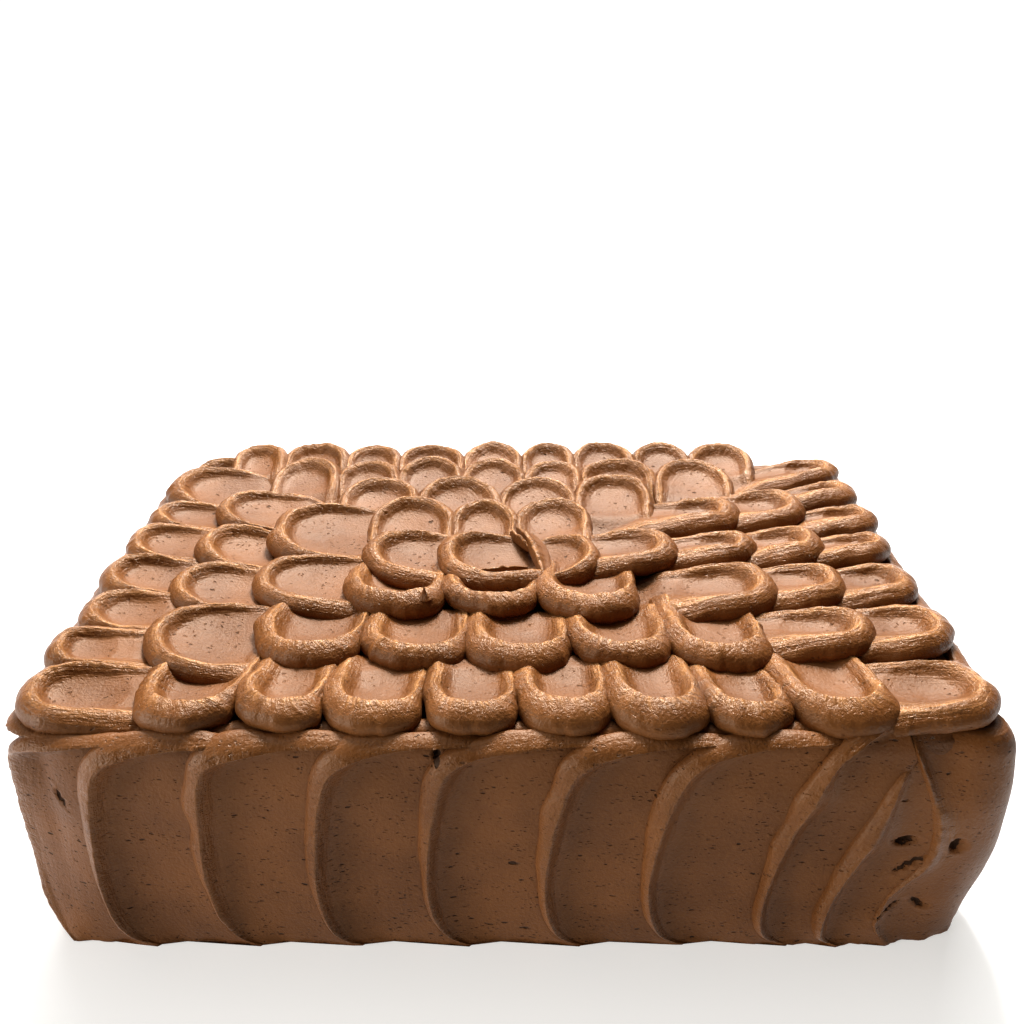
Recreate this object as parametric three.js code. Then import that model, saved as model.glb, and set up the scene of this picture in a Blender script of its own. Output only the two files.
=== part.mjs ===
// A frosted sheet cake: two layers of a 9 by 13 inch sheet under one thick coat of buttercream.
// The coat is one closed body. Its top is laid in rings of spatula scallops, like fish scales,
// and its sides are pulled up in broad vertical strokes with a standing ridge between them.
// Millimetres. X runs along the length, Y from front (-) to back (+), Z up.
// The origin is the centre of the flat base.
import * as THREE from 'three';

// Body.
const BASE_LENGTH = 355;
const BASE_WIDTH = 246;
const SHOULDER_LENGTH = 361;
const SHOULDER_WIDTH = 250;
const TOP_LENGTH = 352;
const TOP_WIDTH = 246;
const SHOULDER_Z = 90;
const LEDGE_Z = 97;
const CORNER_RADIUS = 19;

// Scallops: a shallow bowl, open towards the middle of the cake, with a fat round rim at its
// outer end. Neighbours share a side rim, and the tips draw in where they meet.
const BOWL_Z = 99;
const CREST_Z = 108;
const TIP_RIM_WIDTH = 14;
const SIDE_RIM_WIDTH = 8;
const NOTCH_DEPTH = 9;
const NOTCH_WIDTH = 13;
const RING_CORNER_RADIUS = 26;
const OVERLAP_BLEND = 3;

// Side strokes: a ridge stands at the left of each stroke, steep on its left flank.
const RIDGE_DEPTH = 4.5;
const RIDGE_SLOPE_WIDTH = 15;
const RIDGE_STEEP_WIDTH = 5;
const RIDGE_FOOT_SWEEP = 11;
const RIDGE_FOOT_RISE = 9;
const RIDGE_TOP_SWEEP = 20;
const RIDGE_TOP_START = 60;
const RIDGE_FADE_START = 72;

// Mesh steps, and the small square over which each height of the top is averaged.
const STEPS_X = 70;
const STEPS_Y = 48;
const AVERAGED_OVER = [-1.2, 1.2];
const SIDE_LEVELS = [LEDGE_Z, SHOULDER_Z, 68, 38, 12, 0];

// Each ring of scallops is a rectangle with round corners. It has a reach to each side (how
// far its tips stand from the middle of the cake), and joints, the lines along X or Y where
// two neighbours meet. A corner scallop lies beyond the last joint of both its sides.
const RINGS = [
  {
    reach: { front: 121, right: 176, back: 126, left: 175 },
    joints: {
      front: [-134, -97, -65, -30, 4, 37, 70, 101, 138],
      right: [-78, -40, -3, 26, 54, 80],
      back: [-122, -89, -60, -25, 7, 35, 68, 99, 132],
      left: [-82, -56, -25, 4, 35, 60],
    },
  },
  {
    reach: { front: 83, right: 143, back: 102, left: 142 },
    joints: {
      front: [-98, -57, -16, 25, 63, 102],
      right: [-60, -40, 0, 32, 68],
      back: [-90, -58, -24, 8, 38, 76, 112],
      left: [-37, -2, 32, 68],
    },
  },
  {
    reach: { front: 46, right: 111, back: 79, left: 110 },
    joints: {
      front: [-68, -27, 14, 54],
      right: [-2, 26],
      back: [-82, -46, -5, 33, 70],
      left: [8],
    },
  },
  {
    reach: { front: 22, right: 76, back: 54, left: 66 },
    joints: { front: [-30, 8, 40], right: [26], back: [-26, 5, 38], left: [24] },
  },
  {
    reach: { front: 24, right: 42, back: 24, left: 34 },
    joints: { front: [10], right: [], back: [10], left: [] },
  },
];

// A ridge's foot stands at `first`, then every `pitch` to the right as each side is faced.
const STROKES = {
  front: { first: -150, pitch: 41, count: 8 },
  right: { first: -92, pitch: 40, count: 5 },
  back: { first: -145, pitch: 42, count: 8 },
  left: { first: -96, pitch: 41, count: 5 },
};

// Each side's outward direction, and the direction that runs to the right as it is faced.
const SIDES = {
  front: { out: [0, -1], along: [1, 0] },
  right: { out: [1, 0], along: [0, 1] },
  back: { out: [0, 1], along: [-1, 0] },
  left: { out: [-1, 0], along: [0, -1] },
};

const clamp = THREE.MathUtils.clamp;
const lerp = THREE.MathUtils.lerp;

// How far a point lies inside a ring's rounded rectangle; negative outside it.
function insetInRing({ front, right, back, left }, x, y) {
  const radius = Math.min(RING_CORNER_RADIUS, (front + back) / 2);
  const beyondX = Math.abs(x - (right - left) / 2) - (right + left) / 2 + radius;
  const beyondY = Math.abs(y - (back - front) / 2) - (back + front) / 2 + radius;
  const past = Math.hypot(Math.max(beyondX, 0), Math.max(beyondY, 0));
  return radius - past - Math.min(Math.max(beyondX, beyondY), 0);
}

// The distance from a point to the nearest joint of the side that the point lies nearest to.
function distanceToJoint({ reach, joints }, x, y) {
  const beyond = {
    front: -y - reach.front,
    right: x - reach.right,
    back: y - reach.back,
    left: -x - reach.left,
  };
  const name = Object.keys(beyond).reduce((best, next) => (beyond[next] > beyond[best] ? next : best));
  const along = SIDES[name].along[0] ? x : y;
  return Math.min(...joints[name].map((joint) => Math.abs(along - joint)));
}

// The rim is a half sine across the tip, and a quarter cosine on each side of a joint.
function scallopHeight(tipInset, jointDistance) {
  const tip = Math.sin(Math.PI * Math.min(tipInset / TIP_RIM_WIDTH, 1));
  const side = Math.cos((Math.PI / 2) * Math.min(jointDistance / SIDE_RIM_WIDTH, 1));
  return BOWL_Z + (CREST_Z - BOWL_Z) * Math.max(tip, side);
}

// Inner rings lie over outer ones, with a short blend at their outline.
function topHeight(x, y) {
  let height = BOWL_Z;
  for (const ring of RINGS) {
    const jointDistance = distanceToJoint(ring, x, y);
    const notch = NOTCH_DEPTH * Math.max(1 - jointDistance / NOTCH_WIDTH, 0) ** 2;
    const inset = insetInRing(ring.reach, x, y) - notch;
    const cover = THREE.MathUtils.smoothstep(inset, 0, OVERLAP_BLEND);
    if (cover > 0) height = lerp(height, scallopHeight(inset, jointDistance), cover);
  }
  return height;
}

function averagedTopHeight(x, y) {
  let sum = 0;
  for (const dx of AVERAGED_OVER) {
    for (const dy of AVERAGED_OVER) sum += topHeight(x + dx, y + dy);
  }
  return sum / AVERAGED_OVER.length ** 2;
}

// A ridge's place along its side moves with height: its foot trails to the right, and its
// top sweeps to the right into the ledge under the rims.
function ridgeSweep(z) {
  const foot = RIDGE_FOOT_SWEEP * Math.exp(-z / RIDGE_FOOT_RISE);
  const rise = clamp((z - RIDGE_TOP_START) / (LEDGE_Z - RIDGE_TOP_START), 0, 1);
  return foot + RIDGE_TOP_SWEEP * rise * rise;
}

// How far the stroked side stands out at a place along a side and a height.
function ridgeHeight({ first, pitch, count }, along, z) {
  let height = 0;
  for (let i = 0; i < count; i++) {
    const offset = along - (first + i * pitch + ridgeSweep(z));
    const width = offset < 0 ? RIDGE_STEEP_WIDTH : RIDGE_SLOPE_WIDTH;
    const fall = clamp(1 - Math.abs(offset) / width, 0, 1);
    height = Math.max(height, RIDGE_DEPTH * fall * fall * (3 - 2 * fall));
  }
  return height * (1 - THREE.MathUtils.smoothstep(z, RIDGE_FADE_START, LEDGE_Z));
}

// Moves a point of a rectangle's edge onto the same rectangle with round corners.
function roundedPoint(x, y, halfX, halfY, radius) {
  const cx = clamp(x, radius - halfX, halfX - radius);
  const cy = clamp(y, radius - halfY, halfY - radius);
  const distance = Math.hypot(x - cx, y - cy);
  if (distance === 0) return { x, y, nx: 0, ny: 0 };
  const nx = (x - cx) / distance;
  const ny = (y - cy) / distance;
  return { x: cx + nx * radius, y: cy + ny * radius, nx, ny };
}

// The side's outline at a height: flaring from the base to the shoulder, then drawn in.
function outlineAt(z) {
  if (z > SHOULDER_Z) {
    const t = (z - SHOULDER_Z) / (LEDGE_Z - SHOULDER_Z);
    return [lerp(SHOULDER_LENGTH, TOP_LENGTH, t) / 2, lerp(SHOULDER_WIDTH, TOP_WIDTH, t) / 2];
  }
  const t = Math.sin((Math.PI / 2) * (z / SHOULDER_Z));
  return [lerp(BASE_LENGTH, SHOULDER_LENGTH, t) / 2, lerp(BASE_WIDTH, SHOULDER_WIDTH, t) / 2];
}

// A point of the side wall. Ridges die away as the wall turns a corner. Here (s, t) runs round the edge of the square from -1 to 1.
function sidePoint(s, t, z) {
  const [halfX, halfY] = outlineAt(z);
  const edge = roundedPoint(s * halfX, t * halfY, halfX, halfY, CORNER_RADIUS);
  const name = sideFacing(s, t);
  const [ax, ay] = SIDES[name].along;
  const ridge = ridgeHeight(STROKES[name], edge.x * ax + edge.y * ay, z);
  const turn = 2 * Math.abs(edge.nx * edge.ny);
  const stand = ridge * (1 - turn * turn) - RIDGE_DEPTH;
  return [edge.x + edge.nx * stand, edge.y + edge.ny * stand, z];
}

function sideFacing(s, t) {
  if (Math.abs(t) >= Math.abs(s)) return t < 0 ? 'front' : 'back';
  return s > 0 ? 'right' : 'left';
}

// A point of the top: each square ring of the grid becomes a rectangle with round corners.
function topPoint(s, t) {
  const size = Math.max(Math.abs(s), Math.abs(t));
  const halfX = (size * TOP_LENGTH) / 2 - size * RIDGE_DEPTH;
  const halfY = (size * TOP_WIDTH) / 2 - size * RIDGE_DEPTH;
  const x = (s * TOP_LENGTH) / 2 - s * RIDGE_DEPTH;
  const y = (t * TOP_WIDTH) / 2 - t * RIDGE_DEPTH;
  const spot = roundedPoint(x, y, halfX, halfY, size * CORNER_RADIUS);
  return [spot.x, spot.y, averagedTopHeight(spot.x, spot.y)];
}

const positions = [];
const triangles = [];

function addPoint([x, y, z]) {
  return positions.push(x, y, z) / 3 - 1;
}

function addQuad(a, b, c, d) {
  triangles.push(a, b, c, a, c, d);
}

// The grid steps along one half of a square, from -1 to 1.
const gridStep = (i, steps) => (2 * i) / steps - 1;

// Top: a grid of points, row by row from the front.
const top = [];
for (let j = 0; j <= STEPS_Y; j++) {
  const row = [];
  for (let i = 0; i <= STEPS_X; i++) {
    row.push(addPoint(topPoint(gridStep(i, STEPS_X), gridStep(j, STEPS_Y))));
  }
  top.push(row);
}
for (let j = 0; j < STEPS_Y; j++) {
  for (let i = 0; i < STEPS_X; i++) {
    addQuad(top[j][i], top[j][i + 1], top[j + 1][i + 1], top[j + 1][i]);
  }
}

// The grid's edge, anticlockwise from above, starting at the front left corner.
const edge = [];
for (let i = 0; i < STEPS_X; i++) edge.push([i, 0]);
for (let j = 0; j < STEPS_Y; j++) edge.push([STEPS_X, j]);
for (let i = STEPS_X; i > 0; i--) edge.push([i, STEPS_Y]);
for (let j = STEPS_Y; j > 0; j--) edge.push([0, j]);

// Sides: bands of quads between one level and the next, from the top's edge to the base.
let upper = edge.map(([i, j]) => top[j][i]);
for (const z of SIDE_LEVELS) {
  const lower = edge.map(([i, j]) => addPoint(sidePoint(gridStep(i, STEPS_X), gridStep(j, STEPS_Y), z)));
  upper.forEach((corner, k) => {
    const next = (k + 1) % edge.length;
    addQuad(corner, lower[k], lower[next], upper[next]);
  });
  upper = lower;
}

// Base: the lowest outline, filled flat and facing down.
const outline = upper.map((k) => new THREE.Vector2(positions[3 * k], positions[3 * k + 1]));
for (const [a, b, c] of THREE.ShapeUtils.triangulateShape(outline, [])) {
  triangles.push(upper[a], upper[c], upper[b]);
}

const coat = new THREE.BufferGeometry();
coat.setAttribute('position', new THREE.Float32BufferAttribute(positions, 3));
coat.setIndex(triangles);
coat.computeVertexNormals();

const buttercream = new THREE.MeshStandardMaterial({ color: 0x7d4c36, roughness: 0.45, metalness: 0 });

const cake = new THREE.Mesh(coat, buttercream);
cake.name = 'frosted_cake';

// The origin is the middle of the base's bounding box.
coat.computeBoundingBox();
const middle = coat.boundingBox.getCenter(new THREE.Vector3());
cake.position.set(-middle.x, -middle.y, 0);

const model = new THREE.Group();
model.add(cake);

export default model;
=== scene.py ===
# %% [markdown]
# # A sheet cake under spatula-worked buttercream
#
# The real cake is two layers of a 9 by 13 inch sheet under a thick coat of chocolate
# buttercream. The coat is worked with a small offset spatula: the top in rings of scallops
# that overlap like fish scales, the sides in broad strokes that each push up a ridge.
#
# Both are the same gesture. The blade lands, pushes cream away, and leaves a shallow bowl with
# a fat rim round its far end. So everything visible here is one kind of surface, a **stroke**:
# a floor, a rim that rises out of it, and a rounded bead that hangs over the neighbour.
# Laying one closed stroke over the next gives the undercuts and creases that a single height
# field can't.

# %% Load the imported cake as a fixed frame
import bpy
import math
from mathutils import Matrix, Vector
import numpy as np


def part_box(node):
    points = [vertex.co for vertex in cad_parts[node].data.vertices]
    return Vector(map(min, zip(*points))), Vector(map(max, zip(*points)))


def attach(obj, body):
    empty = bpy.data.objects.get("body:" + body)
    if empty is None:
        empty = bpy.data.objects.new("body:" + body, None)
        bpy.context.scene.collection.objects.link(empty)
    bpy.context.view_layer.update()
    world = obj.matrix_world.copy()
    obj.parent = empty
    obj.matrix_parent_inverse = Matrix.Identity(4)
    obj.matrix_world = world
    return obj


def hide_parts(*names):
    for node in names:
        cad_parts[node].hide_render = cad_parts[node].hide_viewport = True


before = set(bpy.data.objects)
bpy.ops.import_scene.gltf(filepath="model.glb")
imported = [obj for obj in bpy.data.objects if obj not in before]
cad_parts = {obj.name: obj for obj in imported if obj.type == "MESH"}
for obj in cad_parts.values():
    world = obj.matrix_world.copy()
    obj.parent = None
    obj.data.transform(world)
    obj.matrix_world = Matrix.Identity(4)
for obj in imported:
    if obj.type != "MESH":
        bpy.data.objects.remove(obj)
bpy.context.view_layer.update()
CAKE_NODE = "frosted_cake"
MM = 0.001

# %% [markdown]
# ## Measures
#
# All shapes below are worked out in millimetres and turned into metres when a mesh is made.
# The body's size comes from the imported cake's box, so the frosting always fits it.

# %% Sizes taken from the frame
box_low, box_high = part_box(CAKE_NODE)
HALF_X = (box_high[0] - box_low[0]) / MM / 2
HALF_Y = (box_high[1] - box_low[1]) / MM / 2
CAKE_TOP = box_high[2] / MM
RIDGES_STAND = 4.0
PANEL_X = HALF_X - RIDGES_STAND
PANEL_Y = HALF_Y - RIDGES_STAND
CORNER_RADIUS = 18.0
CREST_Z = CAKE_TOP - 0.5
print("flat of the side stands at", round(PANEL_X, 1), "and", round(PANEL_Y, 1), "mm")

# %% [markdown]
# ## Smooth random fields
#
# Hand work is uneven at several sizes at once. A lattice of seeded random numbers, blended
# with a smooth step between its points, gives a field that is the same on every run. Adding
# it along the stroke makes wrinkles; adding it in the cake's own coordinates makes lumps.

# %% Value noise on a wrapped lattice
NOISE_SIZE = 256
NOISE_LATTICE = np.random.default_rng(11).uniform(-1.0, 1.0, (NOISE_SIZE, NOISE_SIZE))


def smooth_noise(u, v, seed=0):
    """Random heights at whole numbers, blended by a smooth step in u and in v."""
    u = np.asarray(u, float) + 37.1 * seed
    v = np.asarray(v, float) + 91.7 * seed
    iu = np.floor(u).astype(int)
    iv = np.floor(v).astype(int)
    fu = u - iu
    fv = v - iv
    fu = fu * fu * (3 - 2 * fu)
    fv = fv * fv * (3 - 2 * fv)
    iu %= NOISE_SIZE
    iv %= NOISE_SIZE
    ju = (iu + 1) % NOISE_SIZE
    jv = (iv + 1) % NOISE_SIZE
    low = NOISE_LATTICE[iu, iv] * (1 - fu) + NOISE_LATTICE[ju, iv] * fu
    high = NOISE_LATTICE[iu, jv] * (1 - fu) + NOISE_LATTICE[ju, jv] * fu
    return low * (1 - fv) + high * fv


def smooth_step(x, start, end):
    """0 before start, 1 after end, and an S curve between."""
    t = np.clip((x - start) / (end - start), 0, 1)
    return t * t * (3 - 2 * t)


print("noise at one place:", round(float(smooth_noise(2.5, 1.5)), 3))

# %% [markdown]
# ## One stroke
#
# A stroke is drawn in its own flat coordinates: `side` across it, `forward` the way the blade
# moved, `height` off the surface it lies on. Two curves describe it in plan: the **crest**,
# where the rim is highest, and the **middle**, the line the floor is measured from. For every
# step along the crest, a section runs from the middle across the floor, up the inside of the
# rim, over the crest, round the bead, and back underneath, so the body is closed.

# %% Curves in plan
CURVE_STEPS = 12


def resample(points, count, weight=None):
    """The same polyline with even steps of arc length, or shorter steps where weight is high."""
    steps = np.hypot(*np.diff(points, axis=0).T)
    along = np.concatenate([[0], np.cumsum(steps)])
    share = steps if weight is None else steps * (weight[1:] + weight[:-1]) / 2
    share = np.concatenate([[0], np.cumsum(share)])
    wanted = np.interp(np.linspace(0, share[-1], count), share, along)
    return np.column_stack([np.interp(wanted, along, points[:, k]) for k in range(2)]), wanted


def smooth_curve(points, count):
    """A Catmull-Rom curve through the points, then equal steps of arc length."""
    padded = np.concatenate([2 * points[:1] - points[1:2], points, 2 * points[-1:] - points[-2:-1]])
    t = np.linspace(0, 1, CURVE_STEPS, endpoint=False)[:, None]
    pieces = []
    for i in range(len(points) - 1):
        p0, p1, p2, p3 = padded[i:i + 4]
        pieces.append(0.5 * (2 * p1 + (p2 - p0) * t + (2 * p0 - 5 * p1 + 4 * p2 - p3) * t ** 2
                             + (3 * p1 - p0 - 3 * p2 + p3) * t ** 3))
    pieces.append(points[-1:])
    return resample(np.concatenate(pieces), count)


def plan_normals(points):
    """Unit vectors square to a plan curve, on its left hand."""
    tangent = np.gradient(points, axis=0)
    tangent /= np.linalg.norm(tangent, axis=1, keepdims=True)
    return np.column_stack([-tangent[:, 1], tangent[:, 0]])


quarter = np.radians(np.linspace(0, 90, 9))
quarter_along = smooth_curve(np.column_stack([np.cos(quarter), np.sin(quarter)]), 50)[1]
print("nine points on a quarter circle, smoothed:", round(float(quarter_along[-1]), 4), "long")

# %% The section of a stroke
FLOOR_STEPS = 24
FLOOR_CROWDING = 1.8
BEAD_STEPS = 14
BEAD_START = math.radians(26)
BEAD_SWEEP = math.radians(126)
UNDER_STEPS = 3
UNDER_DROP = 3.0
ACROSS = FLOOR_STEPS + BEAD_STEPS + UNDER_STEPS


def stroke_section(crest, middle, outward, bulge, crest_h, bottom_h, floor_h, flank, flank_power):
    """Three arrays over (steps along, steps across): points, push directions, nearness to the crest.

    On the floor a point is middle + (crest - middle) * r, with r crowded towards the crest. Its
    height is the floor's, plus the rim's rise times exp(-(distance to the crest / flank) ** power),
    a bell with a rounded top. Wrinkles push straight up on the floor and outwards round the bead,
    so they never fold it. The bead is part of an ellipse: it leaves the crest at a slope, so the
    crest is an edge, swells out to `bulge`, and turns in again underneath."""
    reach = np.linalg.norm(crest - middle, axis=1)
    r = 1 - (1 - np.linspace(0, 1, FLOOR_STEPS)) ** FLOOR_CROWDING
    plan = middle[:, None] + (crest - middle)[:, None] * r[None, :, None]
    floor = floor_h(plan[..., 0], plan[..., 1])
    rise = crest_h - floor_h(crest[:, 0], crest[:, 1])
    from_crest = (1 - r)[None, :] * reach[:, None]
    lift = np.exp(-((from_crest / flank[:, None]) ** flank_power))
    top = np.dstack([plan, floor + rise[:, None] * lift])
    upward = np.broadcast_to([0.0, 0.0, 1.0], top.shape)

    angle = np.linspace(BEAD_START, BEAD_SWEEP, BEAD_STEPS + 1)[1:]
    tall = (crest_h - bottom_h) / (math.cos(BEAD_START) - math.cos(BEAD_SWEEP))
    spread = (np.sin(angle) - math.sin(BEAD_START)) / (1 - math.sin(BEAD_START))
    bead_plan = crest[:, None] + outward[:, None] * (bulge[:, None] * spread[None, :])[..., None]
    bead_h = crest_h[:, None] - tall[:, None] * (math.cos(BEAD_START) - np.cos(angle))[None, :]
    bead = np.dstack([bead_plan, bead_h])
    round_the_bead = np.dstack([outward[:, None] * np.sin(angle)[None, :, None],
                                np.broadcast_to(np.cos(angle), bead_h.shape)])

    back = np.linspace(1, 0, UNDER_STEPS + 1)[1:]
    under_plan = middle[:, None] + (crest - middle)[:, None] * back[None, :, None]
    under_floor = floor_h(under_plan[..., 0], under_plan[..., 1])
    under_h = np.minimum(under_floor, bottom_h[:, None]) - UNDER_DROP
    under = np.dstack([under_plan, under_h])
    near_crest = np.concatenate([
        np.exp(-((from_crest / (flank[:, None] * 1.5)) ** 2)),
        np.broadcast_to(0.3 + 0.7 * np.cos(np.minimum(angle, math.pi / 2)), bead_h.shape),
        np.full(under_h.shape, 0.2)], axis=1)
    push = np.concatenate([upward, round_the_bead, np.zeros(under.shape)], axis=1)
    return np.concatenate([top, bead, under], axis=1), push, near_crest


def grid_arcs(points, along):
    """Two coordinates in millimetres over a grid: arc length along it, and mean arc across."""
    rows, columns = points.shape[:2]
    span = np.linalg.norm(np.diff(points, axis=1), axis=2).mean(axis=0)
    across = np.concatenate([[0], np.cumsum(span)])
    return np.broadcast_to(along[:, None], (rows, columns)), np.broadcast_to(across, (rows, columns))


print("a stroke's section has", ACROSS, "points across")


# %% Faces of a stroke
def stroke_faces(rows, columns, folded):
    """Triangles that close a stroke grid.

    A folded stroke shares its middle line between its two halves, so row i and its mirror row
    use the same first and last vertices. Otherwise the last column joins the first. The two
    ends are fans round a centre vertex, numbered after the grid."""
    index = np.arange(rows * columns).reshape(rows, columns)
    if folded:
        mirror = np.minimum(np.arange(rows), rows - 1 - np.arange(rows))
        index[:, 0] = index[mirror, 0]
        index[:, -1] = index[mirror, -1]
    else:
        index = np.column_stack([index, index[:, 0]])
    a, b, c, d = index[:-1, :-1], index[1:, :-1], index[1:, 1:], index[:-1, 1:]
    quads = np.stack([a, b, c, a, c, d], axis=-1).reshape(-1, 3)
    first, last = rows * columns, rows * columns + 1
    if folded:
        loop = np.concatenate([index[0], index[-1][::-1][1:-1]])
        loops = [(first, loop)]
    else:
        loops = [(first, index[0, :-1]), (last, index[-1, :-1][::-1])]
    fans = [np.column_stack([np.full(len(l), centre), l, np.roll(l, -1)]) for centre, l in loops]
    faces = np.concatenate([quads, *fans])
    keep = (faces[:, 0] != faces[:, 1]) & (faces[:, 1] != faces[:, 2]) & (faces[:, 0] != faces[:, 2])
    return faces[keep], [l for _, l in loops]


def close_stroke(points, faces, loops):
    """Adds the fan centres and turns the faces outwards if the enclosed volume is negative."""
    flat = points.reshape(-1, 3)
    centres = [flat[loop].mean(axis=0) for loop in loops]
    flat = np.concatenate([flat, centres])
    p, q, r = flat[faces[:, 0]], flat[faces[:, 1]], flat[faces[:, 2]]
    if np.einsum("ij,ij->i", p, np.cross(q, r)).sum() < 0:
        faces = faces[:, ::-1]
    return flat, faces


print("a folded stroke nine rows long has", len(stroke_faces(9, ACROSS, True)[0]), "triangles")

# %% [markdown]
# ## Joining strokes into pieces
#
# Each piece is a batch of strokes in one mesh. Two attributes ride along: a UV map that runs
# along the crest and across the section, in metres, for streaks that follow the blade, and
# `cream`, which says how much a spot is rim (red), which way its streaks run (green) and how
# many air pits it has (blue). In the material the rim share also places the painted highlight
# on the crests, and the pit share the painted shade in the pits.

# %% Mesh from a batch of strokes
def make_piece(name, strokes, material):
    """Joins (vertices mm, faces, uv metres, cream 0..1) tuples into one object at the origin."""
    offsets = np.cumsum([0] + [len(s[0]) for s in strokes[:-1]])
    vertices = np.concatenate([s[0] for s in strokes]) * MM
    faces = np.concatenate([s[1] + o for s, o in zip(strokes, offsets)])
    uv = np.concatenate([s[2] for s in strokes])
    cream = np.concatenate([s[3] for s in strokes])
    used, compact = np.unique(faces, return_inverse=True)
    faces = compact.reshape(-1, 3)
    mesh = bpy.data.meshes.new(name)
    mesh.vertices.add(len(used))
    mesh.vertices.foreach_set("co", vertices[used].astype(np.float32).ravel())
    mesh.loops.add(faces.size)
    mesh.loops.foreach_set("vertex_index", faces.astype(np.int32).ravel())
    mesh.polygons.add(len(faces))
    mesh.polygons.foreach_set("loop_start", np.arange(0, faces.size, 3, dtype=np.int32))
    mesh.update(calc_edges=True)
    mesh.shade_smooth()
    layer = mesh.uv_layers.new(name="blade")
    layer.data.foreach_set("uv", uv[used][faces.ravel()].astype(np.float32).ravel())
    colour = mesh.color_attributes.new("cream", "FLOAT_COLOR", "POINT")
    values = np.column_stack([cream[used], np.ones(len(used))]).astype(np.float32)
    colour.data.foreach_set("color", values.ravel())
    piece = bpy.data.objects.new(name, mesh)
    bpy.context.collection.objects.link(piece)
    mesh.materials.append(material)
    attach(piece, "root")
    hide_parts(CAKE_NODE)
    print(name, len(faces), "triangles")


# %% [markdown]
# ## The buttercream
#
# Whipped chocolate buttercream is a soft, slightly greasy solid: a warm brown diffuse base, a
# broad sheen where the blade smoothed it, and a finer one on torn rims. It holds tiny air
# pits, which the blade drags into short dashes, and streaks that run the way it moved. A few
# larger bubbles were torn open, most of them by the last stroke at the right front corner. Some
# light and shade is painted into the colour: a painted highlight along the crests of the rims,
# pale streaks on the rims that are partly painted highlight, and near-black painted shade in the
# pits, slits and torn bubbles. One material covers the whole cake; the `cream` attribute moves
# it between floor and rim.

# %% A small class for shader maths
class Value:
    """Wraps a socket, so that + - * on it add Math nodes."""

    def __init__(self, tree, socket):
        self.tree = tree
        self.socket = socket

    def math(self, operation, *others, clamp=False):
        node = self.tree.nodes.new("ShaderNodeMath")
        node.operation = operation
        node.use_clamp = clamp
        for slot, value in zip(node.inputs, (self, *others)):
            plug(self.tree, slot, value)
        return Value(self.tree, node.outputs[0])

    def __add__(self, other):
        return self.math("ADD", other)

    __radd__ = __add__

    def __mul__(self, other):
        return self.math("MULTIPLY", other)

    __rmul__ = __mul__

    def __sub__(self, other):
        return self.math("SUBTRACT", other)

    def __rsub__(self, other):
        return (self * -1.0) + other

    def clamp(self):
        return self.math("ADD", 0.0, clamp=True)


def plug(tree, slot, value):
    """Links a wrapped socket, or sets a plain value."""
    if isinstance(value, Value):
        tree.links.new(value.socket, slot)
    else:
        slot.default_value = value


def add_node(tree, kind, settings=None, inputs=None, output=0):
    """Adds a node: settings first, then inputs. Gives one wrapped output, or a list for a tuple."""
    node = tree.nodes.new(kind)
    for key, value in (settings or {}).items():
        setattr(node, key, value)
    for key, value in (inputs or {}).items():
        plug(tree, node.inputs[key], value)
    if isinstance(output, tuple):
        return [Value(tree, node.outputs[k]) for k in output]
    return Value(tree, node.outputs[output])


print("shader values now take + - * and clamp; every other node comes from add_node")


# %% Patterns from nodes
def noise(tree, where, scale, detail=3.0, roughness=0.5, distortion=0.0):
    """Fractal noise from 0 to 1."""
    inputs = {"Vector": where, "Scale": scale, "Detail": detail, "Roughness": roughness,
              "Distortion": distortion}
    return add_node(tree, "ShaderNodeTexNoise", inputs=inputs, output="Fac")


def stretched(tree, where, x, y, z):
    """The same coordinates, scaled apart along each axis."""
    return add_node(tree, "ShaderNodeMapping", inputs={"Vector": where, "Scale": (x, y, z)})


def band(tree, value, low, high):
    """0 below low, 1 above high, smooth between."""
    settings = {"interpolation_type": "SMOOTHSTEP"}
    inputs = {"Value": value, "From Min": low, "From Max": high}
    return add_node(tree, "ShaderNodeMapRange", settings, inputs)


def blend_colour(tree, fac, a, b):
    """Mixes two colours by a factor. A Mix node's colour sockets are numbers 6 and 7, out of 2."""
    return add_node(tree, "ShaderNodeMix", {"data_type": "RGBA"}, {0: fac, 6: a, 7: b}, 2)


def spots(tree, place, scale, core, rim):
    """Random spots: 1 nearer than core to the nearest point of a scatter, 0 further than rim."""
    inputs = {"Vector": place, "Scale": scale, "Randomness": 1.0}
    apart = add_node(tree, "ShaderNodeTexVoronoi", {"feature": "F1"}, inputs, "Distance")
    return 1.0 - band(tree, apart, core, rim)


# %% Torn bubbles on the front
# The torn bubbles are dents in the wall, coloured near black inside as painted shade.
TEARS = [  # side, height above the board, half length, half width, rise in degrees
    (143.6, 52.9, 3.8, 1.9, 24),
    (161.0, 53.0, 3.2, 1.9, 78),
    (147.2, 42.2, 6.8, 1.0, 42),
    (142.7, 18.8, 5.2, 1.0, 46),
    (154.5, 20.5, 3.6, 1.3, -43),
    (-23.9, 90.6, 2.1, 1.3, 90),
    (-158.8, 70.0, 4.4, 1.2, 116),
]
TEAR_REACH = 20.0


def tear(tree, place, ragged, side, up, half_length, half_width, rise):
    """1 inside a ragged ellipse on the front, 0 outside: where the scaled distance is under 1."""
    inputs = {"Vector": place, "Rotation": (0.0, -math.radians(rise), 0.0),
              "Location": (side * MM, -PANEL_Y * MM, up * MM),
              "Scale": (half_length * MM, TEAR_REACH * MM, half_width * MM)}
    local = add_node(tree, "ShaderNodeMapping", {"vector_type": "TEXTURE"}, inputs)
    away = add_node(tree, "ShaderNodeVectorMath", {"operation": "LENGTH"}, {0: local}, "Value")
    return 1.0 - band(tree, away + ragged, 0.75, 1.0)


print(len(TEARS), "torn bubbles, the longest", 2 * max(row[2] for row in TEARS), "mm")

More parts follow.
